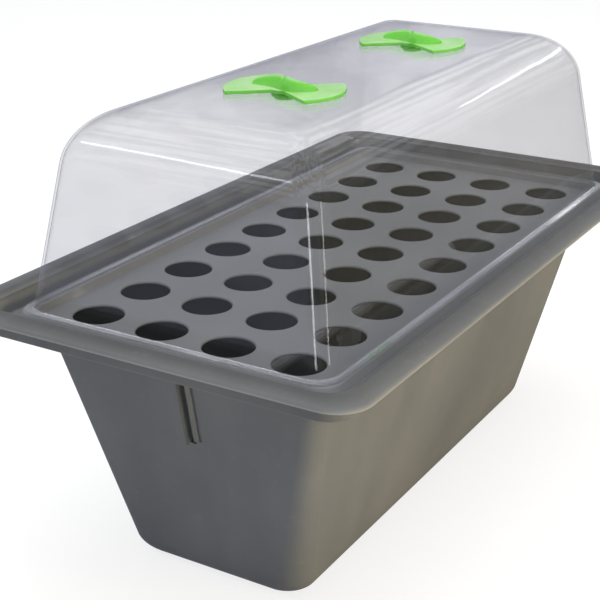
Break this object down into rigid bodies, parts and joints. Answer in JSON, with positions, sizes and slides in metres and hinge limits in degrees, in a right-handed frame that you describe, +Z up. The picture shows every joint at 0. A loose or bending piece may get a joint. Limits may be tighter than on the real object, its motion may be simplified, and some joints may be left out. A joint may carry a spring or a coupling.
{
  "type": "humidity dome tray",
  "caption": "Plant tray with rows of planting holes over a tapered water tank, under a clear dome with turning vents; a pump and spray bar stand in the tank.",
  "frame": {"origin": "centre of the tank's flat bottom", "axes": "+X across the short side, +Y along the long side away from the end wall with the cable notch, +Z up"},
  "size_m": [0.3534, 0.6396, 0.3874],
  "materials": {
    "tank_plastic": "charcoal formed sheet, satin with a fine grain",
    "tray_plastic": "charcoal formed sheet, satin",
    "dome_clear": "thin clear thermoformed sheet, glossy",
    "vent_green": "translucent green moulded plastic, glossy",
    "soft_rubber": "matt black rubber",
    "pump_black": "black moulded plastic, fine texture",
    "grille_grey": "dark grey moulded plastic",
    "shaft_ceramic": "white ceramic pin, polished",
    "rotor_ferrite": "dark grey ferrite magnet",
    "pipe_white": "white rigid pipe, semi-gloss",
    "nozzle_black": "black moulded plastic"
  },
  "bodies": {
    "tank": {"reservoir_tank": "tank_plastic", "pump_body": "pump_black", "pump_volute": "pump_black", "pump_intake_grille": "grille_grey", "pump_cable_gland": "soft_rubber", "pump_sucker_1": "soft_rubber", "pump_sucker_2": "soft_rubber", "pump_sucker_3": "soft_rubber", "pump_sucker_4": "soft_rubber", "shaft_bush_rear": "soft_rubber", "shaft_bush_front": "soft_rubber", "impeller_shaft": "shaft_ceramic", "riser_pipe": "pipe_white", "manifold_tee": "pipe_white", "spray_bar_front": "pipe_white", "spray_bar_rear": "pipe_white", "spray_bar_cap_front": "pipe_white", "spray_bar_cap_rear": "pipe_white", "spray_nozzle_front_1": "nozzle_black", "spray_nozzle_front_2": "nozzle_black", "spray_nozzle_front_3": "nozzle_black", "spray_nozzle_front_4": "nozzle_black", "spray_nozzle_rear_1": "nozzle_black", "spray_nozzle_rear_2": "nozzle_black", "spray_nozzle_rear_3": "nozzle_black", "spray_nozzle_rear_4": "nozzle_black"},
    "tray": {"plant_tray": "tray_plastic"},
    "dome": {"humidity_dome": "dome_clear", "vent_pin_front": "vent_green", "vent_pin_rear": "vent_green", "vent_washer_front": "vent_green", "vent_washer_rear": "vent_green"},
    "vent_front": {"vent_cap_front": "vent_green"},
    "vent_rear": {"vent_cap_rear": "vent_green"},
    "rotor": {"rotor_magnet": "rotor_ferrite", "pump_impeller": "grille_grey"}
  },
  "joints": [
    {"name": "tray_lift", "type": "slide", "parent": "tank", "child": "tray", "axis": [0, 0, 1], "range_m": [0, 0.1]},
    {"name": "dome_lift", "type": "slide", "parent": "tray", "child": "dome", "axis": [0, 0, 1], "range_m": [0, 0.12]},
    {"name": "vent_front_turn", "type": "hinge", "parent": "dome", "child": "vent_front", "pos_m": [0, -0.111, 0.376], "axis": [0, 0, 1], "range_deg": [0, 90]},
    {"name": "vent_rear_turn", "type": "hinge", "parent": "dome", "child": "vent_rear", "pos_m": [0, 0.111, 0.376], "axis": [0, 0, 1], "range_deg": [0, 90]},
    {"name": "impeller_spin", "type": "hinge", "parent": "tank", "child": "rotor", "pos_m": [0, 0, 0.0356], "axis": [0, 1, 0], "continuous": true}
  ]
}
